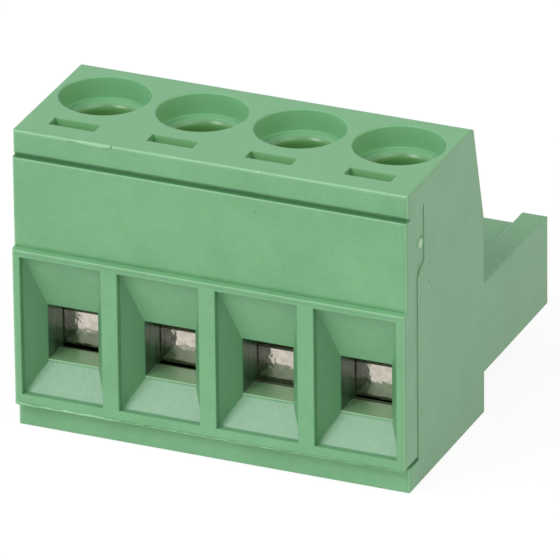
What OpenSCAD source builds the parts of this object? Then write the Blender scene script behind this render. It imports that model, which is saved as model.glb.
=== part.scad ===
// Pluggable screw terminal block: a moulded housing with a plug nose at the back, a moulded front
// cover with one wire funnel a way, and in each way a rising clamp cage, its screw, a socket
// contact and the steel spring that backs the contact.
// X runs along the ways, Y from the wire side to the plug side, Z up. The origin is the centre of
// the box round the whole block, on the level of its underside.

/* [Ways] */
// Number of ways side by side
ways = 4; // [2:1:12]
// Distance from one way to the next
pitch = 5.08; // [5:0.01:6]
// How far each end of the housing stands past the outer ways' pitch
end_growth = 0.04; // [0:0.01:0.2]

/* [Housing] */
// Height of the housing
body_height = 15.64; // [15:0.02:17]
// Depth of the housing at its underside, without the plug nose
body_depth = 9.4; // [9.2:0.1:11]
// Depth of the flat top, in front of the sloping back
top_depth = 8.15; // [7.9:0.05:9]
// Height of the sloping part of the back
back_slope_height = 5.2; // [4:0.1:7]
// Thickness of the overhanging top plate
top_plate = 1.22; // [0.9:0.02:1.4]
// Height of the foot that the cover stands on
foot_height = 1.3; // [1:0.02:1.5]
// Thickness of the floor under the clamp chambers
floor_thickness = 1.2; // [1:0.05:1.3]
// Radius of the moulded outer edges
edge_radius = 0.2; // [0.1:0.05:0.3]

/* [Screw holes] */
// Distance of the screw axis behind the housing's front face
screw_back = 5.17; // [5.1:0.01:5.3]
// Radius of the wide recess in the top
recess_radius = 2.23; // [2.1:0.01:2.3]
// Depth of the wide recess
recess_depth = 1.15; // [0.9:0.05:1.3]
// Radius of the hole that the screwdriver passes
driver_radius = 1.65; // [1.5:0.05:1.75]
// Radius of the rounded rim round the recess
rim_radius = 0.08; // [0.04:0.02:0.12]

/* [Latch slots] */
// Width of each slot in front of a screw hole
slot_width = 2.37; // [2:0.01:2.6]
// Front edge of the slot behind the housing's front face
slot_front = 1.18; // [1.1:0.01:1.3]
// Depth of the slot from front to back
slot_depth = 0.79; // [0.6:0.01:0.8]
// Depth from the top to the cover's tab in the slot
tab_below_top = 0.85; // [0.7:0.05:1]

/* [Front cover] */
// How far the funnel frame stands in front of the housing
frame_proud = 0.5; // [0.35:0.05:0.6]
// How far the plain panel stands in front of the housing
panel_proud = 0.2; // [0.1:0.05:0.25]
// How far the cover's ends stand in from the housing's
cover_inset = 0.03; // [0:0.01:0.1]
// Height of the funnel frame's top edge above the underside
frame_top = 9.46; // [9.4:0.02:9.9]
// Height of the hollow curve by which the panel runs in to the frame's ledge
scoop_height = 0.38; // [0.2:0.02:0.5]
// Depth of that curve at the ledge
scoop_depth = 0.1; // [0.04:0.02:0.15]
// Rear edge of the cover's lower part behind the housing's front face
cover_back = 1.1; // [1:0.05:1.3]
// Rear edge of the cover's upper part behind the housing's front face
cover_back_top = 1.92; // [1.9:0.01:2]
// Height at which the cover's rear edge steps back
cover_jog = 11.52; // [10.8:0.02:12]
// Height of the groove between the cover and the top plate
groove_height = 0.15; // [0.1:0.01:0.3]
// Depth of that groove
groove_depth = 0.6; // [0.4:0.05:0.8]
// Height of the wedge-shaped notch in the cover's seam
notch_height = 0.7; // [0.5:0.05:0.9]
// Width of that notch halfway up
notch_width = 0.34; // [0.2:0.02:0.4]
// Wall of the cover in front of its hollows
cover_wall = 0.9; // [0.7:0.05:1]
// Gap of the seam between the cover and the housing
seam_gap = 0.03; // [0.02:0.01:0.06]
// Gap under the cover's foot
foot_gap = 0.06; // [0.03:0.01:0.1]

/* [Wire funnels] */
// Width of a funnel at the frame
funnel_width = 4.23; // [4:0.01:4.3]
// Height of the funnel's lower edge
funnel_bottom = 1.9; // [1.8:0.02:2.1]
// Height of the funnel's upper edge
funnel_top = 9.18; // [8.9:0.01:9.2]
// Depth of the straight step round the funnel's mouth
funnel_step = 0.35; // [0.2:0.05:0.5]
// Depth from the frame to the wire opening
funnel_depth = 1.42; // [1.3:0.02:1.5]
// Width of the wire opening
wire_width = 2.63; // [2.4:0.01:2.7]
// Height of the wire opening's lower edge
wire_bottom = 3.3; // [3.2:0.01:3.4]
// Height of the wire opening
wire_height = 2.91; // [2.7:0.01:3]
// Height of the lip between the funnel's lower slope and the tunnel's floor
wire_lip = 0.12; // [0:0.02:0.2]
// Length of the straight tunnel behind the wire opening
tunnel_length = 1.68; // [1.6:0.01:1.75]
// Chamfer at the inner end of the tunnel's floor
tunnel_chamfer = 0.26; // [0:0.02:0.4]
// Wall round the tunnel where it stands into the clamp chamber
tunnel_wall = 0.7; // [0.5:0.02:0.74]

/* [Clamp chambers] */
// Width of a clamp chamber
chamber_width = 4.3; // [4.25:0.01:4.4]
// Thickness between the clamp chamber and the back of the housing
chamber_back_wall = 1.65; // [1.5:0.05:2]
// Running gap of the cage all round in its chamber
cage_gap = 0.1; // [0.08:0.01:0.12]

/* [Clamp cage] */
// Thickness of the cage's strip
cage_strip = 0.5; // [0.4:0.02:0.52]
// Thickness of the doubled top with the thread
cage_top = 1.2; // [1:0.05:1.25]
// Height of the guard skirt, from the cage floor's top face down
skirt_height = 1.88; // [1.6:0.02:1.9]
// Radius of the bend from the cage floor to the skirt
skirt_bend = 0.2; // [0.1:0.05:0.45]
// Number of grip grooves across the cage floor
grip_grooves = 3; // [0:1:4]
// Depth of the grip grooves
grip_depth = 0.12; // [0.05:0.01:0.2]
// Distance from one grip groove to the next
grip_spacing = 0.9; // [0.7:0.05:1]
// Height of the cage floor's top face when the highest cage is at rest
cage_floor = 5.23; // [5.1:0.01:5.4]
// Drop of each cage below the highest one, way by way
cage_drop = [0, 0.06, 0.13, 0.04];

/* [Clamp screw] */
// Thread diameter
screw_diameter = 3; // [2.5:0.05:3]
// Diameter of the head
head_diameter = 3.8; // [3.6:0.05:4]
// Height of the head
head_height = 1.6; // [1.4:0.05:1.65]
// Width of the driver slot
driver_slot_width = 0.8; // [0.6:0.05:1]
// Depth of the driver slot
driver_slot_depth = 0.9; // [0.6:0.05:1]
// Clearance of the head round its rim and under it
head_gap = 0.1; // [0.05:0.01:0.15]
// Radial clearance of the screw in the cage
screw_clearance = 0.05; // [0.02:0.01:0.1]
// Gap between the screw and what holds it above and below
screw_end_gap = 0.05; // [0.03:0.01:0.1]

/* [Contact] */
// Thickness of the current bar
bar_thickness = 0.8; // [0.7:0.05:0.9]
// Width of the current bar in the cage
bar_width = 2.7; // [2.3:0.05:2.85]
// Height of the current bar's underside
bar_bottom = 5.87; // [5.8:0.01:5.92]
// Gap between the contact and the housing that holds it
contact_gap = 0.05; // [0.03:0.01:0.08]
// Thickness of the socket's two arms
arm_thickness = 0.35; // [0.3:0.05:0.4]
// Height of the socket's two arms
arm_height = 2; // [1.8:0.05:2.1]
// Distance between the arms at the neck
arm_spread = 1.5; // [1.4:0.05:1.6]
// Distance between the arms where they grip the pin
arm_grip = 0.8; // [0.6:0.05:0.9]
// Distance between the arms at their flared mouth
arm_mouth = 1.4; // [1.2:0.05:1.5]
// Length of the arms' straight root
arm_root = 2.4; // [2:0.1:3]
// Length of the arms' flared mouth
mouth_length = 0.9; // [0.7:0.1:1.1]
// Thickness of the steel spring
spring_thickness = 0.2; // [0.15:0.05:0.25]
// Gap between the spring and the contact
spring_gap = 0.03; // [0.02:0.01:0.04]
// Length of the spring's collar
collar_length = 1.7; // [1.4:0.1:1.9]
// Height of the spring's two leaves
leaf_height = 1.3; // [1:0.1:1.6]

/* [Plug nose] */
// Length of the nose behind the housing
nose_length = 8.4; // [8:0.05:9]
// Height of the nose's underside above the housing's
nose_bottom = 2.2; // [2.1:0.01:2.3]
// Height of the nose's top between the end ribs
nose_top = 6.3; // [6.2:0.05:6.5]
// Height of the end ribs' top
rib_top = 6.93; // [6.8:0.01:7.1]
// Width of an end rib at its top
rib_width = 1.26; // [1:0.02:1.4]
// Sideways run of the end rib's sloping foot
rib_slope = 0.4; // [0.2:0.05:0.5]
// Radius of the nose's upper rear edge
nose_radius = 0.4; // [0.3:0.05:0.5]
// Wall of the nose over and under the sockets
nose_wall = 0.7; // [0.6:0.05:0.75]
// Width of a socket chamber in the nose
socket_width = 3; // [2.9:0.05:3.1]
// Thickness of the wall at the end of the nose
nose_end_wall = 0.8; // [0.6:0.05:1]
// Width and height of a pin entry
pin_entry = 1.6; // [1.4:0.1:1.8]
// Lead-in chamfer round a pin entry
pin_lead = 0.35; // [0.2:0.05:0.4]

/* [Hidden] */
way_numbers = [1 : ways];
$fn = 64;
arc_steps = 6;
cut = 1;

// Planes across the block, from the wire side to the plug side
width = ways * pitch + 2 * end_growth;
cover_half = width / 2 - cover_inset;
frame_face = -(frame_proud + body_depth + nose_length) / 2;
face = frame_face + frame_proud;
panel_face = face - panel_proud;
screw_axis = face + screw_back;
body_back = face + body_depth;
nose_back = body_back + nose_length;
opening_face = frame_face + funnel_depth;
tunnel_end = opening_face + tunnel_length;
cover_rear = face + cover_back;
cover_rear_top = face + cover_back_top;
chamber_back = body_back - chamber_back_wall;

// Levels of the housing and the cover
plate_under = body_height - top_plate;
recess_floor = body_height - recess_depth;
cover_foot = foot_height + foot_gap;
tunnel_shelf = wire_bottom - tunnel_wall - seam_gap;
scoop_radius = scoop_height / 2 / tan(atan(2 * scoop_depth / scoop_height) / 2);

// Clamp: the cage hangs on the screw and rises round the current bar
cage_width = chamber_width - 2 * cage_gap;
cage_inside = cage_width - 2 * cage_strip;
cage_front = tunnel_end + cage_gap;
cage_back = chamber_back - cage_gap;
bar_top = bar_bottom + bar_thickness;
cage_room = bar_top + cage_gap - wire_bottom;
cage_height = cage_room + cage_top;
cage_closed_floor = bar_bottom - screw_end_gap;
screw_radius = screw_diameter / 2;
head_radius = head_diameter / 2;
screw_tip = bar_top + screw_end_gap;
head_under = cage_closed_floor + cage_height + head_gap;
head_top = head_under + head_height;
chamber_top = head_top + screw_end_gap;

// Contact: the bar runs back over the clamp, turns down and becomes the socket
socket_low = nose_bottom + nose_wall;
socket_high = nose_top - nose_wall;
socket_middle = (socket_low + socket_high) / 2;
socket_end = nose_back - nose_end_wall;
neck_front = chamber_back + contact_gap;
neck_back = neck_front + bar_thickness;
arm_end = socket_end - contact_gap;
arm_grip_back = arm_end - mouth_length;
arm_outer = arm_spread / 2 + arm_thickness;

function way_middle(i) = (i - (ways + 1) / 2) * pitch;
function cage_rest(i) = cage_floor - cage_drop[(i - 1) % len(cage_drop)];

// Points of one corner b between its neighbours a and c, rounded to radius r
function corner(a, b, c, r) =
    r == 0 ? [b] :
    let (
        u = (a - b) / norm(a - b),
        v = (c - b) / norm(c - b),
        half = acos(u * v) / 2,
        middle = b + (u + v) / norm(u + v) * r / sin(half),
        start = b + u * r / tan(half) - middle,
        first = atan2(start.y, start.x),
        sweep = -sign(cross(u, v)) * (180 - 2 * half)
    )
    [for (k = [0 : arc_steps])
        let (angle = first + sweep * k / arc_steps)
        middle + r * [cos(angle), sin(angle)]];

// Outline through the corners [x, y, radius], with each one rounded
function outline(corners) =
    let (n = len(corners), at = [for (p = corners) [p[0], p[1]]])
    [for (i = [0 : n - 1])
        for (p = corner(at[(i + n - 1) % n], at[i], at[(i + 1) % n], corners[i][2])) p];

// Rounded rectangle between two opposite corners
module plate(low, high, r) {
    polygon(outline([[low.x, low.y, r], [high.x, low.y, r], [high.x, high.y, r], [low.x, high.y, r]]));
}

// A side view [y, z] drawn out along X
module along_x(from, to) {
    translate([from, 0, 0]) rotate([90, 0, 90]) linear_extrude(to - from) children();
}

// A front view [x, z] drawn out along Y
module along_y(from, to) {
    translate([0, to, 0]) rotate([90, 0, 0]) linear_extrude(to - from) children();
}

// A plan [x, y] drawn out along Z
module along_z(from, to) {
    translate([0, 0, from]) linear_extrude(to - from) children();
}

// Box between two opposite corners
module block(low, high) {
    translate(low) cube(high - low);
}

// Copies of the children, one a way
module each_way() {
    for (i = way_numbers) translate([way_middle(i), 0, 0]) children();
}

// Side view of the housing without its nose: foot, cover seat, top plate and sloping back
module housing_side() {
    polygon(outline([
        [face, 0, edge_radius / 2],
        [body_back, 0, edge_radius / 2],
        [body_back, body_height - back_slope_height, edge_radius],
        [face + top_depth, body_height, edge_radius],
        [face, body_height, edge_radius],
        [face, plate_under, edge_radius / 2],
        [cover_rear_top, plate_under, 0],
        [cover_rear_top, cover_jog - seam_gap, 0],
        [cover_rear + notch_width, cover_jog - notch_height / 2, edge_radius],
        [cover_rear, cover_jog - notch_height, 0],
        [cover_rear, foot_height, 0],
        [face, foot_height, edge_radius / 2]
    ]));
}

// The nose that enters the header, with a raised rib along each end
module nose() {
    along_x(-width / 2, width / 2) polygon(outline([
        [body_back - cut, nose_bottom, 0],
        [nose_back, nose_bottom, edge_radius],
        [nose_back, nose_top, nose_radius],
        [body_back - cut, nose_top, 0]
    ]));
    for (side = [0, 1]) mirror([side, 0, 0]) intersection() {
        along_y(body_back - cut, nose_back) polygon(outline([
            [width / 2, nose_bottom, 0],
            [width / 2, rib_top, edge_radius / 2],
            [width / 2 - rib_width, rib_top, edge_radius / 2],
            [width / 2 - rib_width - rib_slope, nose_top, 0],
            [width / 2 - rib_width - rib_slope, nose_bottom, 0]
        ]));
        along_x(0, width / 2) polygon(outline([
            [body_back - cut, nose_bottom, 0],
            [nose_back, nose_bottom, edge_radius],
            [nose_back, rib_top, nose_radius],
            [body_back - cut, rib_top, 0]
        ]));
    }
}

// Recess, rounded lip and driver hole down to the clamp chamber, turned about the screw axis
module screw_hole() {
    lip_radius = recess_radius - driver_radius - rim_radius;
    translate([0, screw_axis, 0]) rotate_extrude() polygon(outline([
        [0, chamber_top - cut, 0],
        [driver_radius, chamber_top - cut, 0],
        [driver_radius, recess_floor, lip_radius],
        [recess_radius, recess_floor, 0],
        [recess_radius, body_height, rim_radius],
        [recess_radius + cut, body_height, 0],
        [recess_radius + cut, body_height + cut, 0],
        [0, body_height + cut, 0]
    ]));
}

// Room for the cage and the screw, open to the front above the shelf that the cover's tunnel
// stands on, with a bore that follows the screw's head
module clamp_chamber() {
    half = chamber_width / 2;
    along_x(-half, half) polygon([
        [tunnel_end, floor_thickness],
        [chamber_back, floor_thickness],
        [chamber_back, chamber_top],
        [face, chamber_top],
        [face, tunnel_shelf],
        [tunnel_end, tunnel_shelf]
    ]);
    translate([0, screw_axis, head_under - head_gap])
        cylinder(r = head_radius + head_gap, h = chamber_top - head_under + head_gap);
}

// Room for the contact: a slot for its neck behind the clamp and the socket chamber in the nose
module socket_chamber() {
    half = socket_width / 2;
    block([-half, chamber_back - cut, socket_low], [half, neck_back + contact_gap, bar_top + contact_gap]);
    block([-half, neck_front, socket_low], [half, socket_end, socket_high]);
}

// Square entry for a header pin, with a lead-in from outside
module pin_hole() {
    inner = pin_entry / 2;
    outer = inner + pin_lead;
    intersection() {
        along_z(socket_low, socket_high) polygon([
            [-inner, socket_end - cut], [inner, socket_end - cut],
            [inner, nose_back - pin_lead], [outer, nose_back], [outer, nose_back + cut],
            [-outer, nose_back + cut], [-outer, nose_back], [-inner, nose_back - pin_lead]
        ]);
        translate([0, 0, socket_middle]) along_x(-outer, outer) polygon([
            [socket_end - cut, -inner], [nose_back - pin_lead, -inner],
            [nose_back, -outer], [nose_back + cut, -outer],
            [nose_back + cut, outer], [nose_back, outer],
            [nose_back - pin_lead, inner], [socket_end - cut, inner]
        ]);
    }
}

module housing() {
    color("#6FA97B") difference() {
        intersection() {
            union() {
                along_x(-width / 2, width / 2) housing_side();
                nose();
            }
            along_z(0, body_height) plate([-width / 2, face], [width / 2, nose_back], edge_radius);
            along_y(face, nose_back) plate([-width / 2, 0], [width / 2, body_height], edge_radius / 2);
        }
        each_way() {
            screw_hole();
            clamp_chamber();
            socket_chamber();
            pin_hole();
            block(
                [-slot_width / 2, face + slot_front, plate_under - cut / 2],
                [slot_width / 2, face + slot_front + slot_depth, body_height + cut]
            );
        }
    }
}

// Wire funnel and tunnel: a straight step, four sloping sides and the straight wire opening
module wire_funnel() {
    half = funnel_width / 2;
    wire_half = wire_width / 2;
    wire_top = wire_bottom + wire_height;
    step_end = frame_face + funnel_step;
    intersection() {
        along_z(funnel_bottom, funnel_top) polygon([
            [-half, frame_face - cut], [half, frame_face - cut], [half, step_end],
            [wire_half, opening_face], [wire_half, tunnel_end + cut],
            [-wire_half, tunnel_end + cut], [-wire_half, opening_face], [-half, step_end]
        ]);
        along_x(-half, half) polygon([
            [frame_face - cut, funnel_bottom], [step_end, funnel_bottom],
            [opening_face, wire_bottom - wire_lip], [opening_face, wire_bottom],
            [tunnel_end - tunnel_chamfer, wire_bottom], [tunnel_end, wire_bottom - tunnel_chamfer],
            [tunnel_end + cut, wire_bottom - tunnel_chamfer], [tunnel_end + cut, wire_top],
            [opening_face, wire_top], [step_end, funnel_top], [frame_face - cut, funnel_top]
        ]);
    }
}

// Side view of the funnel frame, the lower part of the cover
module frame_side() {
    polygon(outline([
        [frame_face, cover_foot, edge_radius / 2],
        [cover_rear - seam_gap, cover_foot, 0],
        [cover_rear - seam_gap, frame_top, 0],
        [frame_face, frame_top, edge_radius / 2]
    ]));
}

// Side view of the plain panel, the upper part of the cover, whose foot curves in to the ledge
module panel_side() {
    polygon(outline([
        [panel_face + scoop_depth, frame_top - edge_radius, 0],
        [cover_rear - seam_gap, frame_top - edge_radius, 0],
        [cover_rear - seam_gap, cover_jog, 0],
        [cover_rear_top - seam_gap, cover_jog, 0],
        [cover_rear_top - seam_gap, plate_under, 0],
        [panel_face, plate_under, 0],
        [panel_face, frame_top + scoop_height / 2, scoop_radius],
        [panel_face + scoop_depth, frame_top, 0]
    ]));
}

module front_cover() {
    half = chamber_width / 2 - cage_gap;
    tunnel_half = wire_width / 2 + tunnel_wall;
    color("#74AE80") difference() {
        union() {
            intersection() {
                along_x(-cover_half, cover_half) frame_side();
                along_z(0, body_height) plate([-cover_half, frame_face], [cover_half, nose_back], edge_radius);
                along_y(frame_face, cover_rear)
                    plate([-cover_half, cover_foot], [cover_half, body_height], edge_radius);
            }
            intersection() {
                along_x(-cover_half, cover_half) panel_side();
                along_z(0, body_height) plate([-cover_half, panel_face], [cover_half, nose_back], edge_radius);
            }
            each_way() {
                block(
                    [-tunnel_half, opening_face, wire_bottom - tunnel_wall],
                    [tunnel_half, tunnel_end, wire_bottom + wire_height + tunnel_wall]
                );
                block(
                    [-slot_width / 2 + seam_gap, face + slot_front + seam_gap, plate_under - cover_wall / 2],
                    [slot_width / 2 - seam_gap, cover_rear_top - seam_gap, body_height - tab_below_top]
                );
            }
        }
        each_way() {
            wire_funnel();
            block(
                [-half, panel_face + cover_wall, cover_jog - cut],
                [half, cover_rear_top + cut, plate_under - cover_wall]
            );
        }
        block(
            [-width, panel_face - cut, plate_under - groove_height],
            [width, panel_face + groove_depth, plate_under + cut]
        );
    }
}

// Cage folded from strip, drawn with its floor's top face at height 0: floor, two sides, the
// doubled top with the thread, and the guard skirt that closes the chamber in front
module cage_form() {
    half = cage_width / 2;
    inside = cage_inside / 2;
    difference() {
        union() {
            along_x(-half, half) polygon(outline([
                [cage_front, 0, skirt_bend],
                [cage_front, -skirt_height, cage_strip / 8],
                [cage_front + cage_strip, -skirt_height, cage_strip / 8],
                [cage_front + cage_strip, -cage_strip, cage_strip / 8],
                [cage_back, -cage_strip, 0],
                [cage_back, 0, 0]
            ]));
            along_y(cage_front + skirt_bend, cage_back) difference() {
                plate([-half, -cage_strip], [half, cage_height], cage_strip / 2);
                translate([-inside, 0]) square([cage_inside, cage_room]);
            }
        }
        translate([0, screw_axis, cage_room - cut])
            cylinder(r = screw_radius + screw_clearance, h = cage_top + 2 * cut);
        for (k = [1 : 1 : grip_grooves])
            translate([0, screw_axis + (k - (grip_grooves + 1) / 2) * grip_spacing, 0])
                along_x(-inside, inside) polygon([
                    [-grip_depth, 0], [0, -grip_depth], [grip_depth, 0], [0, grip_depth]
                ]);
    }
}

module clamp_cage(i) {
    color("#C9C4BA") translate([way_middle(i), 0, cage_rest(i)]) cage_form();
}

// Slotted cheese-head screw, turned about its own axis
module clamp_screw(i) {
    tip_chamfer = screw_radius / 5;
    color("#B9AE9C") translate([way_middle(i), screw_axis, 0]) difference() {
        rotate_extrude() polygon(outline([
            [0, screw_tip, 0],
            [screw_radius - tip_chamfer, screw_tip, 0],
            [screw_radius, screw_tip + tip_chamfer, 0],
            [screw_radius, head_under, 0],
            [head_radius, head_under, 0],
            [head_radius, head_top, head_height / 8],
            [0, head_top, 0]
        ]));
        block(
            [-head_diameter, -driver_slot_width / 2, head_top - driver_slot_depth],
            [head_diameter, driver_slot_width / 2, head_top + cut]
        );
    }
}

// Plan of a leaf that runs from the neck to the mouth, standing out from the arms' inner faces
module leaf_plan(from, out, thickness) {
    root_end = neck_back + arm_root;
    grip_mouth = (arm_mouth - arm_grip) / 2;
    polygon([
        [arm_spread / 2 + out, from],
        [arm_spread / 2 + out, root_end],
        [arm_grip / 2 + out, arm_grip_back],
        [arm_grip / 2 + grip_mouth + out, arm_end],
        [arm_grip / 2 + grip_mouth + out + thickness, arm_end],
        [arm_grip / 2 + out + thickness, arm_grip_back],
        [arm_spread / 2 + out + thickness, root_end],
        [arm_spread / 2 + out + thickness, from]
    ]);
}

// Current bar over the clamp, neck behind it and the two arms that grip the header's pin
module contact(i) {
    neck_half = socket_width / 2 - contact_gap;
    bar_front = cage_front + cage_strip + cage_gap;
    color("#B8B4AA") translate([way_middle(i), 0, 0]) {
        along_x(-bar_width / 2, bar_width / 2) polygon(outline([
            [bar_front, bar_bottom, 0],
            [neck_front, bar_bottom, 0],
            [neck_front, socket_low + contact_gap, 0],
            [neck_back, socket_low + contact_gap, 0],
            [neck_back, bar_top, bar_thickness / 2],
            [bar_front, bar_top, 0]
        ]));
        block([-neck_half, neck_front, socket_low + contact_gap], [neck_half, neck_back, socket_high - contact_gap]);
        for (side = [0, 1]) mirror([side, 0, 0])
            along_z(socket_middle - arm_height / 2, socket_middle + arm_height / 2)
                leaf_plan(neck_front, 0, arm_thickness);
    }
}

// Steel spring: a collar round the arms' root and a leaf outside each arm
module contact_spring(i) {
    inner = arm_outer + spring_gap;
    outer = inner + spring_thickness;
    inner_up = arm_height / 2 + spring_gap;
    outer_up = inner_up + spring_thickness;
    from = neck_back + spring_gap;
    color("#8F9294") translate([way_middle(i), 0, socket_middle]) {
        along_y(from, from + collar_length) difference() {
            square([2 * outer, 2 * outer_up], center = true);
            square([2 * inner, 2 * inner_up], center = true);
        }
        for (side = [0, 1]) mirror([side, 0, 0])
            along_z(-leaf_height / 2, leaf_height / 2)
                leaf_plan(from, arm_thickness + spring_gap, spring_thickness);
    }
}

housing();
front_cover();
for (i = way_numbers) {
    clamp_cage(i);
    clamp_screw(i);
    contact(i);
    contact_spring(i);
}
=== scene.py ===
import math

import bpy
import numpy as np
from mathutils import Matrix, Vector


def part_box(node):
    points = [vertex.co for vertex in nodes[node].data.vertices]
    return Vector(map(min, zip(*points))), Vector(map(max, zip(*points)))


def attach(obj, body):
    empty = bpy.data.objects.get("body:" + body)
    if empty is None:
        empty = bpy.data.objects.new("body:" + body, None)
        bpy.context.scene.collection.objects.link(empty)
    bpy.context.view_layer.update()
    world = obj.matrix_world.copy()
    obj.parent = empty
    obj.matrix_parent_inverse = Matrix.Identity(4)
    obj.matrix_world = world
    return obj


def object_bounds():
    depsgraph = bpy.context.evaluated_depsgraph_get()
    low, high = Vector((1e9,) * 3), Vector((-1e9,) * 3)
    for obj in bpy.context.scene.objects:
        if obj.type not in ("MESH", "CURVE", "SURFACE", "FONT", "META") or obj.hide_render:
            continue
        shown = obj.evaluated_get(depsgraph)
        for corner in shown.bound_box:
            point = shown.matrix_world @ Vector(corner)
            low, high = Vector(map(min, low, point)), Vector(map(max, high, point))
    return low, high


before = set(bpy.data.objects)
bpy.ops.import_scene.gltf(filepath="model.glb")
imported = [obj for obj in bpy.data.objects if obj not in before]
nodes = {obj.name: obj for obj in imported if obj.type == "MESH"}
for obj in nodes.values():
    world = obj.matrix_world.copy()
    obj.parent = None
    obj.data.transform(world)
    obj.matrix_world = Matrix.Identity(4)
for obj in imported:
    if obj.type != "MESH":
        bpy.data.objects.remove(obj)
cad_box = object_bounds()

MM = 0.001
scene = bpy.context.scene
WAYS = sum(name.startswith("clamp_screw_") for name in nodes)
MIDDLE = Vector((cad_box[0][i] + cad_box[1][i] for i in range(3))) / 2


def box_middle(node):
    """The middle of a node's box at rest."""
    low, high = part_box(node)
    return tuple((low[i] + high[i]) / 2 for i in range(3))


# Camera: a long lens a little over half a metre away, to the right of the front and above it

AZIMUTH = math.radians(23.255)
ELEVATION = math.radians(25.617)
ROLL = math.radians(-0.671)
DISTANCE = 537.6 * MM
LENS = 717.0
AIM = MIDDLE + Vector((0.256, -0.865, -1.756)) * MM


def place_camera():
    """The camera stands at DISTANCE from AIM, turned AZIMUTH from the front to +X and ELEVATION up."""
    data = bpy.data.cameras.new("camera")
    data.lens = LENS
    data.sensor_width = 36.0
    data.clip_start = 0.01
    data.clip_end = 10.0
    camera = bpy.data.objects.new("camera", data)
    back = Vector((
        math.sin(AZIMUTH) * math.cos(ELEVATION),
        -math.cos(AZIMUTH) * math.cos(ELEVATION),
        math.sin(ELEVATION),
    ))
    turn = back.to_track_quat("Z", "Y").to_matrix().to_4x4()
    stand = Matrix.Translation(AIM + back * DISTANCE)
    camera.matrix_world = stand @ turn @ Matrix.Rotation(ROLL, 4, "Z")
    scene.collection.objects.link(camera)
    scene.camera = camera


# Materials

def linear(colour):
    """sRGB hex to linear RGBA: each channel over 12.92 below 0.04045, else to the power 2.4."""
    parts = [int(colour[i:i + 2], 16) / 255 for i in (1, 3, 5)]
    curved = [p / 12.92 if p <= 0.04045 else ((p + 0.055) / 1.055) ** 2.4 for p in parts]
    return curved + [1.0]


def add(tree, kind, values=None, stops=None, **settings):
    """One shader node with its settings, its colour stops (position, RGBA) where it is a ramp, and
    its inputs by name or number: a value, a socket to link, or a node whose first output is linked."""
    made = tree.nodes.new("ShaderNode" + kind)
    for name, value in settings.items():
        setattr(made, name, value)
    for name, value in (values or {}).items():
        if isinstance(value, bpy.types.Node):
            value = value.outputs[0]
        if isinstance(value, bpy.types.NodeSocket):
            tree.links.new(value, made.inputs[name])
        else:
            made.inputs[name].default_value = value
    if stops:
        elements = made.color_ramp.elements
        elements[0].position, elements[0].color = stops[0]
        elements[1].position, elements[1].color = stops[-1]
        for position, colour in stops[1:-1]:
            elements.new(position).color = colour
    return made


def new_material(name):
    """An empty material with its tree and its output node."""
    material = bpy.data.materials.new(name)
    material.use_nodes = True
    tree = material.node_tree
    tree.nodes.clear()
    return material, tree, add(tree, "OutputMaterial")


def within(tree, place, low, high):
    """1 between the corners low and high of a box, and 0 outside it. None leaves that side open."""
    inside = None
    for axis in range(3):
        for limit, test in ((low[axis], "GREATER_THAN"), (high[axis], "LESS_THAN")):
            if limit is None:
                continue
            past = add(tree, "Math", {0: place.outputs[axis], 1: limit}, operation=test)
            if inside:
                past = add(tree, "Math", {0: inside, 1: past}, operation="MULTIPLY")
            inside = past
    return inside


GREENS = ("#69A174", "#6FA77A", "#75AD80")
# A paler green for the painted highlight on rounded edges and on the panel's upper edge.
EDGE_HIGHLIGHT_GREEN = "#B4E0B8"


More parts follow.
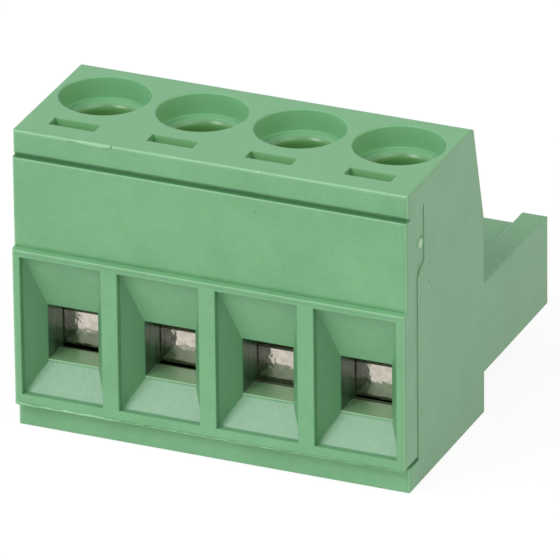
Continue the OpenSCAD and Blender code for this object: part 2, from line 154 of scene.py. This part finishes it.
def moulded_polyamide(name, core, tones=GREENS, rough=(0.32, 0.42), recess=None, funnels=None,
                      strips=(), marks=()):
    """Polyamide 6.6, injection moulded in a fine spark-eroded tool: an even pale green with a soft
    sheen, cloudy by a few percent over millimetres, and with the tool's grain of a tenth of one.
    Rounded edges outside the box core get a painted highlight, mixed towards a paler green. recess
    gives the screw holes' pitch, first middle, axis and radius: their walls are painted lighter, as
    painted light that is strongest on the -X side, and their depth is painted a darker olive, a painted
    reflection of the screw in painted shade. funnels gives the corners of the wire funnels' box, the
    depth at which their polished tunnels begin and the height of the tunnels' floors; in that box the
    flanks across X are painted darker as painted shade, the faces below the floors' height that look up
    or down are tinted greyer as a painted sheen, and the tunnels' flanks are darker still, painted shade
    broken by drag streaks. strips are boxes of painted light and shade, each with its corners, colour
    and strength, and marks are small flaws and painted highlight spots, each with its middle, radius,
    colour and strength."""
    material, tree, output = new_material(name)
    where = add(tree, "TexCoord").outputs["Object"]
    place = add(tree, "SeparateXYZ", {0: where})
    clouds, grain, mottle = (
        add(tree, "TexNoise", {"Vector": where, "Scale": 1 / size, "Detail": detail, "Roughness": decay})
        for size, detail, decay in ((2.5 * MM, 3.0, 0.6), (0.12 * MM, 2.0, 0.6), (0.3 * MM, 3.0, 0.7))
    )
    shade = add(tree, "MapRange", {0: clouds, "From Min": 0.3, "From Max": 0.7, "To Max": 0.8})
    speck = add(tree, "MapRange", {
        0: grain, "From Min": 0.3, "From Max": 0.7, "To Min": -0.2, "To Max": 0.2,
    })
    mixed = add(tree, "Math", {0: shade, 1: speck}, operation="ADD")
    stops = [(at, linear(tone)) for at, tone in zip((0.0, 0.45, 1.0), tones)]
    colour = add(tree, "ValToRGB", {0: mixed}, stops).outputs[0]
    for low, high, tone in ((0.5, 0.68, "#7DB077"), (0.5, 0.32, "#639E80")):
        part = add(tree, "MapRange", {0: mottle, "From Min": low, "From Max": high, "To Max": 0.22})
        blend = {0: part, 6: colour, 7: linear(tone)}
        colour = add(tree, "Mix", blend, data_type="RGBA").outputs[2]
    dull = add(tree, "MapRange", {
        0: grain, "From Min": 0.3, "From Max": 0.7, "To Min": rough[0], "To Max": rough[1],
    })
    normal = add(tree, "NewGeometry").outputs["Normal"]
    facing = add(tree, "VectorMath", {0: normal}, operation="ABSOLUTE")
    facing = add(tree, "SeparateXYZ", {0: facing})

    if recess:
        pitch, first, axis, radius = recess
        ways = {0: place.outputs["X"], 1: 1 / pitch, 2: 0.5 - first / pitch}
        across = add(tree, "Math", ways, operation="MULTIPLY_ADD")
        across = add(tree, "Math", {0: across}, operation="FRACT")
        across = add(tree, "Math", {0: across, 1: 0.5}, operation="SUBTRACT")
        across = add(tree, "Math", {0: across, 1: pitch}, operation="MULTIPLY")
        along = add(tree, "Math", {0: place.outputs["Y"], 1: axis}, operation="SUBTRACT")
        flat = add(tree, "CombineXYZ", {0: across, 1: along})
        reach = add(tree, "VectorMath", {0: flat}, operation="LENGTH")
        reach = add(tree, "Math", {0: reach.outputs["Value"], 1: radius}, operation="DIVIDE")
        hole = add(tree, "Math", {0: reach, 1: 1.01}, operation="LESS_THAN")
        # Painted light and reflection: the recess walls are lighter than the body, lighter still on the
        # -X side, and the driver hole below them is a darker olive, a painted reflection of the screw in
        # painted shade.
        stops = [(0.76, linear("#5F9556")), (0.85, linear("#77B083")), (0.94, linear("#7AB686"))]
        wall = add(tree, "ValToRGB", {0: reach}, stops)
        towards = add(tree, "MapRange", {0: across, "From Min": 0.2 * radius, "From Max": -radius})
        outer = add(tree, "Math", {0: reach, 1: 0.97}, operation="GREATER_THAN")
        towards = add(tree, "Math", {0: towards, 1: outer}, operation="MULTIPLY")
        blend = {0: towards, 6: wall, 7: linear("#8DCC95")}
        wall = add(tree, "Mix", blend, data_type="RGBA").outputs[2]
        colour = add(tree, "Mix", {0: hole, 6: colour, 7: wall}, data_type="RGBA").outputs[2]
        lip = add(tree, "Math", {0: reach, 1: 0.96}, operation="LESS_THAN")
        dull = add(tree, "Mix", {0: lip, 2: dull.outputs[0], 3: 0.26}, data_type="FLOAT")
    if funnels:
        low, high, depth, floor = funnels
        inside = within(tree, place, low, high)
        # Painted shade: the funnels' faces across X are darker.
        shaded_flank = add(tree, "Math", {0: facing.outputs["X"], 1: 0.5}, operation="GREATER_THAN")
        shaded_flank = add(tree, "Math", {0: shaded_flank, 1: inside}, operation="MULTIPLY")
        blend = {0: shaded_flank, 6: colour, 7: linear("#659A6F")}
        colour = add(tree, "Mix", blend, data_type="RGBA").outputs[2]
        # Painted sheen: faces that look up or down below the tunnels' floors are tinted greyer.
        ramp = add(tree, "Math", {0: facing.outputs["Z"], 1: 0.25}, operation="GREATER_THAN")
        under = within(tree, place, low, (*high[:2], floor + 0.01 * MM))
        ramp = add(tree, "Math", {0: ramp, 1: under}, operation="MULTIPLY")
        blend = {0: ramp, 6: colour, 7: linear("#70A07B")}
        colour = add(tree, "Mix", blend, data_type="RGBA").outputs[2]
        tunnel = add(tree, "Math", {0: place.outputs["Y"], 1: depth}, operation="GREATER_THAN")
        tunnel = add(tree, "Math", {0: tunnel, 1: inside}, operation="MULTIPLY")
        dull = add(tree, "Mix", {0: tunnel, 2: dull.outputs[0], 3: 0.3}, data_type="FLOAT")
        # Painted shade with drag streaks: the tunnels' flanks are mixed more than half way to a very
        # dark green, in streaks drawn out along Z.
        drag_and_shade = add(tree, "Mapping", {"Vector": where, "Scale": (1.0, 1.0, 0.05)})
        drag_and_shade = add(tree, "TexNoise", {"Vector": drag_and_shade, "Scale": 1 / (0.15 * MM), "Detail": 1.0})
        drag_and_shade = add(tree, "MapRange", {
            0: drag_and_shade, "From Min": 0.35, "From Max": 0.65, "To Min": 0.95, "To Max": 0.55,
        })
        drag_and_shade = add(tree, "Math", {0: drag_and_shade, 1: tunnel}, operation="MULTIPLY")
        drag_and_shade = add(tree, "Math", {0: drag_and_shade, 1: shaded_flank}, operation="MULTIPLY")
        blend = {0: drag_and_shade, 6: colour, 7: linear("#33503A")}
        colour = add(tree, "Mix", blend, data_type="RGBA").outputs[2]

    # Painted highlight: rounded edges outside the box core, whose normals lie between the axes, are
    # mixed towards a paler green, a little less where they face up or down.
    steep = add(tree, "Math", {0: facing.outputs["X"], 1: facing.outputs["Y"]}, operation="MAXIMUM")
    steep = add(tree, "Math", {0: steep, 1: facing.outputs["Z"]}, operation="MAXIMUM")
    edge_highlight = add(tree, "MapRange", {0: steep, "From Min": 0.95, "From Max": 0.76, "To Max": 0.33})
    level = add(tree, "MapRange", {
        0: facing.outputs["Z"], "From Max": 0.6, "To Min": 1.0, "To Max": 0.8,
    })
    outside = add(tree, "Math", {0: 1.0, 1: within(tree, place, *core)}, operation="SUBTRACT")
    edge_highlight = add(tree, "Math", {0: edge_highlight, 1: level}, operation="MULTIPLY")
    edge_highlight = add(tree, "Math", {0: edge_highlight, 1: outside}, operation="MULTIPLY")
    blend = {0: edge_highlight, 6: colour, 7: linear(EDGE_HIGHLIGHT_GREEN)}
    colour = add(tree, "Mix", blend, data_type="RGBA").outputs[2]
    for low, high, tone, strength in strips:
        inside = within(tree, place, low, high)
        strip = add(tree, "Math", {0: inside, 1: strength}, operation="MULTIPLY")
        blend = {0: strip, 6: colour, 7: linear(tone)}
        colour = add(tree, "Mix", blend, data_type="RGBA").outputs[2]
    for middle, radius, tone, strength in marks:
        away = add(tree, "VectorMath", {0: where, 1: middle}, operation="DISTANCE")
        fade = add(tree, "MapRange", {
            0: away.outputs["Value"], "From Min": radius, "From Max": radius * 0.5, "To Max": strength,
        })
        blend = {0: fade, 6: colour, 7: linear(tone)}
        colour = add(tree, "Mix", blend, data_type="RGBA").outputs[2]

    edges = add(tree, "Bevel", {"Radius": 0.09 * MM}, samples=6)
    relief = add(tree, "Bump", {
        "Height": grain, "Strength": 0.2, "Distance": 0.02 * MM, "Normal": edges,
    })
    shader = add(tree, "BsdfPrincipled", {
        "Base Color": colour, "Roughness": dull, "IOR": 1.53, "Normal": relief,
    })
    tree.links.new(shader.outputs[0], output.inputs["Surface"])
    return material


def plated_metal(name, base, deep, rough, wave, level_tone=None):
    """Sheet or turned metal with a bright plating: fine scratches along X, a slight waviness of the
    strip, and a few deeper clouds where the plating is thinner. Faces that look up take the colour
    given for them, where one is given, and are dull."""
    material, tree, output = new_material(name)
    where = add(tree, "TexCoord").outputs["Object"]
    clouds = add(tree, "TexNoise", {"Vector": where, "Scale": 1 / (0.4 * MM), "Detail": 2.0})
    along = add(tree, "Mapping", {"Vector": where, "Scale": (0.12, 1.0, 1.0)})
    lines = add(tree, "TexNoise", {"Vector": along, "Scale": 1 / (0.06 * MM), "Detail": 2.0})
    colour = add(tree, "ValToRGB", {0: clouds}, [(0.3, linear(deep)), (0.6, linear(base))])
    dull = add(tree, "MapRange", {
        0: lines, "From Min": 0.3, "From Max": 0.7, "To Min": rough * 0.8, "To Max": rough * 1.3,
    })
    if level_tone:
        facing = add(tree, "SeparateXYZ", {0: add(tree, "NewGeometry").outputs["Normal"]})
        level = add(tree, "Math", {0: facing.outputs["Z"], 1: 0.7}, operation="GREATER_THAN")
        blend = {0: level, 6: colour, 7: linear(level_tone)}
        colour = add(tree, "Mix", blend, data_type="RGBA").outputs[2]
        dull = add(tree, "Mix", {0: level, 2: dull.outputs[0], 3: 0.6}, data_type="FLOAT")
    swell = add(tree, "Bump", {"Height": clouds, "Strength": 1.0, "Distance": wave})
    relief = add(tree, "Bump", {
        "Height": lines, "Strength": 0.1, "Distance": 0.005 * MM, "Normal": swell,
    })
    shader = add(tree, "BsdfPrincipled", {
        "Base Color": colour, "Metallic": 1.0, "Roughness": dull, "Normal": relief,
    })
    tree.links.new(shader.outputs[0], output.inputs["Surface"])
    return material


def dress(node, material):
    """Puts the material in every slot of a node's mesh."""
    slots = node.data.materials
    if not len(slots):
        slots.append(material)
    for i in range(len(slots)):
        slots[i] = material


# Studio: a white world for the camera and for reflections, soft lamps, and a pale floor

def seen_white(tree):
    """1 for camera, glossy and transmitted rays, which see the studio plain white, and 0 for light."""
    path = add(tree, "LightPath")
    seen = path.outputs["Is Camera Ray"]
    for ray in ("Is Glossy Ray", "Is Transmission Ray"):
        seen = add(tree, "Math", {0: seen, 1: path.outputs[ray]}, operation="MAXIMUM")
    return seen


def light_world(lobes):
    """A world that lights by the cosine to each lobe's direction times the lobe's strength, and is
    plain white to the camera, in reflections and through glass."""
    world = bpy.data.worlds.new("studio")
    world.use_nodes = True
    tree = world.node_tree
    tree.nodes.clear()
    where = add(tree, "TexCoord").outputs["Generated"]
    light = 0.0
    for direction, strength in lobes:
        towards = Vector(direction).normalized()
        cosine = add(tree, "VectorMath", {0: where, 1: towards}, operation="DOT_PRODUCT")
        lobe = add(tree, "Math", {0: cosine.outputs["Value"], 1: 0.0}, operation="MAXIMUM")
        light = add(tree, "Math", {0: lobe, 1: strength, 2: light}, operation="MULTIPLY_ADD")
    strength = add(tree, "MapRange", {0: seen_white(tree), "To Min": light, "To Max": 1.0})
    glow = add(tree, "Background", {"Color": (1.0, 1.0, 1.0, 1.0), "Strength": strength})
    output = add(tree, "OutputWorld")
    tree.links.new(glow.outputs[0], output.inputs["Surface"])
    scene.world = world


def area_lamp(name, direction, distance, size, power, tint=(1.0, 1.0, 1.0)):
    """A square soft box at that direction and distance from AIM, facing it."""
    data = bpy.data.lights.new(name, "AREA")
    data.shape = "SQUARE"
    data.size = size
    data.energy = power
    data.color = tint
    lamp = bpy.data.objects.new(name, data)
    towards = Vector(direction).normalized()
    turn = towards.to_track_quat("Z", "Y").to_matrix().to_4x4()
    lamp.matrix_world = Matrix.Translation(AIM + towards * distance) @ turn
    scene.collection.objects.link(lamp)


def lay_floor(level, white):
    """A pale matt floor, three metres square: its share white is plain white where it is looked at, and
    the rest keeps the part's soft shadow."""
    mesh = bpy.data.meshes.new("floor")
    half = 1.5
    corners = [(x * half, y * half, level) for x, y in ((-1, -1), (1, -1), (1, 1), (-1, 1))]
    mesh.from_pydata(corners, [], [(0, 1, 2, 3)])
    floor = bpy.data.objects.new("floor", mesh)
    scene.collection.objects.link(floor)
    material, tree, output = new_material("floor_paper")
    paper = add(tree, "BsdfDiffuse", {"Color": linear("#F4F4F2")})
    glow = add(tree, "Emission", {"Color": (1.0, 1.0, 1.0, 1.0), "Strength": 1.04})
    share = add(tree, "Math", {0: seen_white(tree), 1: white}, operation="MULTIPLY")
    mixed = add(tree, "MixShader", {0: share, 1: paper, 2: glow})
    tree.links.new(mixed.outputs[0], output.inputs["Surface"])
    mesh.materials.append(material)


LAMP_DISTANCE = 0.9

place_camera()
light_world([((0.0, -1.0, 0.15), 0.12), ((-0.7, -0.7, 0.3), 1.36)])
area_lamp("soft_box_front", (-0.36, -0.62, 0.69), LAMP_DISTANCE, 0.35, 2.4)
area_lamp("soft_box_right", (0.8, -0.3, 1.0), LAMP_DISTANCE, 0.6, 1.98, (1.0, 1.1, 0.97))
area_lamp("soft_box_side", (1.0, 0.35, 0.25), LAMP_DISTANCE, 0.6, 1.7, (1.0, 0.86, 0.8))
lay_floor(cad_box[0][2] - 0.02 * MM, 0.88)

# Where the mouldings' faces are, from their boxes and the drawing's steps. The seam lies seam_low deep
# below the height JOG and seam_high deep above it, CORNER is the mouldings' corner radius, and the
# constant after it is how far in from the outer faces the painted edge highlight reaches.

RECESS_RADIUS = 2.23 * MM
PANEL_BACK = 0.2 * MM
PLATE_DEPTH = 1.22 * MM
GROOVE_HEIGHT = 0.15 * MM
TUNNEL_LENGTH = 1.68 * MM
FUNNEL_LOW, FUNNEL_HIGH = 1.8 * MM, 9.3 * MM
FRAME_TOP = 9.46 * MM
JOG = 11.52 * MM
WIRE_LOW, WIRE_HIGH, WIRE_HALF = 3.3 * MM, 6.21 * MM, 1.315 * MM
CORNER = 0.2 * MM
HIGHLIGHT_BAND = 0.25 * MM

housing_low, housing_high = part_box("housing")
cover_low, cover_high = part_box("front_cover")
first_way, second_way = (box_middle(f"clamp_screw_{i}") for i in (1, 2))
pitch = second_way[0] - first_way[0]
plate_face, plate_top = housing_low[1], housing_high[2]
panel_face = plate_face - PANEL_BACK
frame_face, tunnel_end = cover_low[1], cover_high[1]
tunnel_start = tunnel_end - TUNNEL_LENGTH
plate_under = plate_top - PLATE_DEPTH
panel_top = plate_under - GROOVE_HEIGHT
side, cover_side = housing_high[0], cover_high[0]
inner_side = cover_side - HIGHLIGHT_BAND
seam_low, seam_high = plate_face + 1.085 * MM, plate_face + 1.905 * MM
gate = (cover_side, plate_face + 1.465 * MM, 12.58 * MM)
knock = (side, plate_face + 2.52 * MM, 10.09 * MM)

# Finishes: each box of a finish goes from one corner to the other, and None leaves it open there

NO_EDGE_HIGHLIGHT = ((None, None, None), (None, None, 1.0))
recess = (pitch, first_way[0], first_way[1], RECESS_RADIUS)
funnels = (
    (-inner_side, frame_face + 0.1 * MM, FUNNEL_LOW), (inner_side, None, FUNNEL_HIGH),
    tunnel_start, WIRE_LOW,
)
housing_core = (
    (HIGHLIGHT_BAND - side, plate_face + HIGHLIGHT_BAND, None), (side - HIGHLIGHT_BAND, housing_high[1] - 2 * HIGHLIGHT_BAND, None),
)
cover_core = ((-inner_side, frame_face + 0.12 * MM, None), (inner_side, None, FUNNEL_HIGH))

# Housing: painted light on the slots' deep walls, which are lighter, the plate's upper face painted
# greener, a knock on the side, a speck on top and a painted highlight spot on the top plate's front edge
housing_strips = (
    # Painted light: the slots' deep walls are lighter.
    ((-inner_side, plate_face + 0.7 * MM, plate_under + 0.2 * MM),
     (inner_side, plate_face + 2.2 * MM, plate_top - 0.03 * MM), "#86C585", 0.7),
    # Painted light: the top face is greener, to offset its white sheen.
    ((None, None, plate_top - 0.01 * MM), (None, None, None), "#73B37E", 0.7),
)
housing_flaws_and_glints = (
    (knock, 0.24 * MM, "#93BB93", 0.6),
    (knock, 0.13 * MM, "#3E6B45", 0.9),
    ((2.02 * MM, plate_face + 5.97 * MM, plate_top), 0.08 * MM, "#4F8A58", 0.7),
    # Painted highlight: a pale spot on the top plate's front edge.
    ((2.54 * MM, plate_face, plate_top), 0.12 * MM, "#BCE3BC", 0.7),
)

# Cover: a painted highlight on the panel's upper edge, painted shade on the ledge in the groove above
# it, painted light on the tunnels' floors and painted highlights on their front edges, then a speck on
# the panel, a painted highlight on the broken gate and a dark patch above it
cover_strips = (
    # Painted highlight: the panel's upper edge is paler.
    ((None, None, panel_top - 0.07 * MM), (None, panel_face + 0.05 * MM, None), EDGE_HIGHLIGHT_GREEN, 0.28),
    # Painted shade: the ledge in the groove is dark green.
    ((0.05 * MM - cover_side, panel_face + 0.05 * MM, panel_top - 0.02 * MM),
     (cover_side - 0.05 * MM, None, None), "#3F7A4C", 0.75),
    # Painted light: the tunnels' floors are lighter.
    ((-inner_side, tunnel_start, WIRE_LOW - 0.05 * MM),
     (inner_side, None, WIRE_LOW + 0.01 * MM), "#8FB985", 0.6),
    # Painted highlight: a pale line on the tunnels' front edges.
    ((-inner_side, tunnel_start - 0.04 * MM, WIRE_LOW - 0.05 * MM),
     (inner_side, tunnel_start + 0.03 * MM, WIRE_LOW + 0.01 * MM), "#C5E3C3", 0.45),
)
cover_flaws_and_glints = (
    ((2.44 * MM, panel_face, 13.57 * MM), 0.11 * MM, "#5C9468", 0.8),
    # Painted highlight: a pale patch on the broken gate.
    ((gate[0] + 0.05 * MM, gate[1] - 0.005 * MM, gate[2] - 0.02 * MM), 0.3 * MM, "#BFE0BF", 0.75),
    ((gate[0], gate[1] + 0.165 * MM, gate[2] + 0.26 * MM), 0.14 * MM, "#4A7550", 0.9),
)

housing_green = moulded_polyamide(
    "moulded_polyamide_housing", housing_core, recess=recess,
    strips=housing_strips, marks=housing_flaws_and_glints,
)
cover_green = moulded_polyamide(
    "moulded_polyamide_cover", cover_core, funnels=funnels,
    strips=cover_strips, marks=cover_flaws_and_glints,
)
# Painted shade: a dark olive for the lips round the tunnels' ends.
shaded_lip_green = moulded_polyamide(
    "shaded_polyamide", NO_EDGE_HIGHLIGHT, tones=("#5A6549", "#606B4F", "#667155"), rough=(0.7, 0.85),
)
# Flash and burr: torn plastic whose pale green is partly its own whitened skin and partly painted
# highlight.
torn_and_highlit_green = moulded_polyamide("torn_highlit_polyamide", NO_EDGE_HIGHLIGHT, tones=("#7BB385", "#8DC195", "#A6D4AB"))
cage_metal = plated_metal(
    "nickel_plated_steel", "#CEC7BB", "#B9B2A6", 0.1, 0.02 * MM, level_tone="#BFB29C",
)
screw_metal = plated_metal("zinc_plated_steel", "#C9C2B2", "#B5AE9F", 0.28, 0.003 * MM)
contact_metal = plated_metal("tinned_copper_alloy", "#D2CEC4", "#B5B1A6", 0.35, 0.006 * MM)
spring_metal = plated_metal("spring_steel", "#A9ABAD", "#8C8F92", 0.3, 0.003 * MM)

dress(nodes["housing"], housing_green)
dress(nodes["front_cover"], cover_green)
for i in range(1, WAYS + 1):
    dress(nodes[f"clamp_cage_{i}"], cage_metal)
    dress(nodes[f"clamp_screw_{i}"], screw_metal)
    dress(nodes[f"contact_{i}"], contact_metal)
    dress(nodes[f"contact_spring_{i}"], spring_metal)

# Trim of the mouldings: what moulding and parting leave, and what closes narrow gaps between the solids

def tube(name, rings, material, loop=False):
    """A closed surface through rings, an array of ring, corner and xyz: each corner is joined to the
    same corner of the next ring, and the end rings are filled, or joined to each other where loop is
    set. The sum of a . (b x c) over the triangles of the sides, about six times the volume, tells
    whether the faces look outwards."""
    count, corners = rings.shape[:2]
    points = rings.reshape(-1, 3)
    index = np.arange(count * corners).reshape(count, corners)
    before, after = (index, np.roll(index, -1, 0)) if loop else (index[:-1], index[1:])
    quads = np.stack([before, np.roll(before, -1, 1), np.roll(after, -1, 1), after], -1)
    quads = quads.reshape(-1, 4)
    a, b, c, d = (points[quads[:, k]] - points.mean(0) for k in range(4))
    volume = (a * (np.cross(b, c) + np.cross(c, d))).sum()
    ends = [] if loop else [index[0, ::-1], index[-1]]
    turn = 1 if volume > 0 else -1
    mesh = bpy.data.meshes.new(name)
    mesh.from_pydata(points.tolist(), [], [face[::turn].tolist() for face in [*quads, *ends]])
    mesh.materials.append(material)
    piece = bpy.data.objects.new(name, mesh)
    scene.collection.objects.link(piece)
    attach(piece, "shell")


def section(x, corners):
    """Rings across X: each corner is a pair of y and z, numbers or arrays along x."""
    return np.stack([np.stack(np.broadcast_arrays(x, y, z), -1) for y, z in corners], 1)


def slab(reaches, ring):
    """The same ring of y and z at each reach across X, a number or an array round the ring."""
    return np.stack([np.column_stack([np.broadcast_to(x, len(ring)), ring]) for x in reaches])


def ragged(x, spacing, low, high, seed):
    """Seeded values between low and high, one every spacing along x, joined by straight lines."""
    knots = np.arange(x.min(), x.max() + spacing, spacing)
    return np.interp(x, knots, np.random.default_rng(seed).uniform(low, high, len(knots)))


def corner_face(x, face):
    """A front face's y along x: flat as far as c, the side less the corner's radius r, and then back
    round the corner, y = face + r - sqrt(r^2 - (|x| - c)^2)."""
    past = np.clip(np.abs(x) - (cover_side - CORNER), 0.0, CORNER)
    return face + CORNER - np.sqrt(CORNER ** 2 - past ** 2)


def groove_floor():
    """A bar along X that closes the groove under the top plate a little behind the plate's face."""
    x = np.array([-1.0, 1.0]) * (cover_side - 0.05 * MM)
    front, back = plate_face + 0.2 * MM, plate_face + 0.5 * MM
    low, high = panel_top - 0.1 * MM, plate_under + 0.05 * MM
    corners = [(front, low), (front, high), (back, high), (back, low)]
    tube("groove_floor", section(x, corners), housing_green)


def frame_ledge():
    """The frame's top edge runs out into the panel: from the panel's face, share 0, to the frame's,
    share 1, it falls from 0.12 mm above the frame to its front edge, and both faces turn back at the
    corners."""
    skin = 0.002 * MM
    bend = np.linspace(cover_side - CORNER, cover_side - skin, 8)
    x = np.concatenate([-bend[::-1], bend])
    inner, outer = corner_face(x, panel_face), corner_face(x, frame_face) - skin
    shape = [(1.0, -0.12), (1.0, 0.03), (0.9, 0.07), (0.0, 0.12), (-0.3, 0.12), (-0.3, -0.12)]
    corners = [(inner + share * (outer - inner), FRAME_TOP + rise * MM) for share, rise in shape]
    tube("frame_ledge", section(x, corners), cover_green)


def parting_flash():
    """A ragged bead of flash along the frame's lower front edge: its height and how far it stands
    proud change about every third of a millimetre, and it is strongest towards -X and hangs a little
    below the edge."""
    x = np.linspace(-cover_side + 0.02 * MM, cover_side - 0.02 * MM, 420)
    fade = np.interp(x, [-9.6 * MM, -6.0 * MM, -4.5 * MM, 10.0 * MM], [1.0, 1.0, 0.45, 0.35])
    face = corner_face(x, frame_face)
    proud = ragged(x, 0.35 * MM, 0.02 * MM, 0.07 * MM, 3) * fade
    tall = ragged(x, 0.3 * MM, 0.03 * MM, 0.11 * MM, 5) * fade
    hang = ragged(x, 0.25 * MM, 0.0, 0.04 * MM, 8) * fade
    low = cover_low[2]
    corners = [
        (face + 0.05 * MM, low + tall), (face - 0.3 * proud, low + tall),
        (face - proud, low + 0.5 * tall), (face - proud, low - hang),
        (face + 0.03 * MM, low - hang), (face + 0.05 * MM, low + 0.01 * MM),
    ]
    tube("parting_flash", section(x, corners), torn_and_highlit_green)


def plate_burr():
    """A smeared burr on the top plate's front edge: over 2 mm its width follows a sine and a straight
    rise, with a ragged share added, and it ends abruptly between the first two ways."""
    start, end = first_way[0] + 0.32 * MM, first_way[0] + 2.57 * MM
    x = np.linspace(start, end, 90)
    share = np.linspace(0.0, 1.0, len(x))
    width = (0.03 + 0.09 * np.sin(np.pi * share ** 1.4) ** 0.7 + 0.04 * share) * MM
    width += ragged(x, 0.12 * MM, 0.0, 0.07 * MM, 4)
    proud = np.minimum(share * 4, 1.0) * ragged(x, 0.15 * MM, 0.015 * MM, 0.05 * MM, 6)
    top = plate_top - 0.03 * MM
    corners = [
        (plate_face + 0.06 * MM, top - width), (plate_face - 0.2 * proud, top - width),
        (plate_face - proud, top - 0.6 * width), (plate_face - 0.5 * proud, top - 0.04 * MM),
        (plate_face + 0.06 * MM, top + 0.5 * proud + 0.02 * MM), (plate_face + 0.15 * MM, top),
    ]
    tube("plate_burr", section(x, corners), torn_and_highlit_green)


def side_trim(name, hand):
    """One side's closed seam, hand +1 or -1: skins up the cover's rear edge, which steps back at the
    jog, flush where the seam is shut and otherwise a little under the surface; a skin under the top
    plate; and a floor that makes the notch under the jog shallow towards its ends."""
    flush, sunk = cover_side + 0.018 * MM, cover_side - 0.005 * MM
    inner = cover_side - 0.3 * MM
    low = (seam_low, [cover_low[2] + 0.02 * MM, 8.0 * MM, 9.0 * MM, JOG], [flush, flush, sunk, sunk])
    heights = [JOG, 12.85 * MM, 12.95 * MM, 14.1 * MM, 14.2 * MM, plate_under]
    high = (seam_high, heights, [flush, flush, sunk, sunk, flush, flush])
    for part, (y, z, outer) in (("low", low), ("high", high)):
        z, outer = np.array(z), np.array(outer)
        front, back = y - 0.04 * MM, y + 0.04 * MM
        corners = [(inner, front), (outer, front), (outer, back), (inner, back)]
        rings = [np.stack(np.broadcast_arrays(x * hand, along, z), -1) for x, along in corners]
        rings = np.stack(rings, 1)
        tube(f"seam_skin_{part}_{name}", rings, housing_green)
    start = plate_face + 0.22 * MM
    under, over = panel_top - 0.05 * MM, plate_under + 0.05 * MM
    ring = np.array([(start, under), (seam_high, under), (seam_high, over), (start, over)])
    rings = slab((inner * hand, flush * hand), ring)
    tube(f"seam_skin_top_{name}", rings, housing_green)
    ring = np.array([
        (seam_high + 0.02 * MM, JOG + 0.02 * MM), (seam_low + 0.5 * MM, JOG + 0.02 * MM),
        (seam_low, JOG - 0.15 * MM), (seam_low, JOG - 0.75 * MM),
    ])
    outer = side - np.array([0.03, 0.14, 0.45, 0.06]) * MM
    rings = slab(((side - 0.6 * MM) * hand, outer * hand), ring)
    tube(f"notch_floor_{name}", rings, housing_green)


def gate_nub():
    """The broken gate on the cover's +X side: circles across X, flattened to 0.8 in height, whose
    radius falls to a small blunt tip, each waved a little by the sine of three and of five turns."""
    turn = np.linspace(0.0, 2 * np.pi, 24, endpoint=False)
    rise = np.array([-0.05, 0.005, 0.03, 0.045, 0.05]) * MM
    reach = np.array([0.4, 0.4, 0.33, 0.2, 0.05]) * MM
    waved = reach[:, None] * (1 + 0.08 * np.sin(3 * turn) + 0.06 * np.sin(5 * turn + 1))
    rings = np.stack([
        np.broadcast_to(gate[0] + rise[:, None], waved.shape),
        gate[1] + waved * np.cos(turn),
        gate[2] + waved * np.sin(turn) * 0.8,
    ], -1)
    tube("gate_nub", rings, cover_green)


def tunnel_lip(way):
    """A mitred frame round one tunnel's end that nearly meets the clamp cage, so no wide gap shows
    there. Its dark olive is painted shade, for the dark inside beyond the tunnel's end. Its lower
    bar lies a little deeper in the first two ways."""
    x = box_middle(f"clamp_screw_{way}")[0]
    front, back = tunnel_end - 0.02 * MM, tunnel_end + 0.08 * MM
    spread = 0.25 * MM
    low = WIRE_LOW - (0.12 if way < 3 else 0.05) * MM
    loop = []
    for hand, z, rise in ((-1, low, -1), (1, low, -1), (1, WIRE_HIGH, 1), (-1, WIRE_HIGH, 1)):
        inner, outer = x + hand * WIRE_HALF, x + hand * (WIRE_HALF + spread)
        outer_z = z + rise * spread
        loop.append([
            (inner, front, z), (inner, back, z), (outer, back, outer_z), (outer, front, outer_z),
        ])
    tube(f"tunnel_lip_{way}", np.array(loop), shaded_lip_green, loop=True)


groove_floor()
frame_ledge()
parting_flash()
plate_burr()
side_trim("right", 1)
side_trim("left", -1)
gate_nub()
for i in range(1, WAYS + 1):
    tunnel_lip(i)

scene.view_settings.view_transform = "Standard"
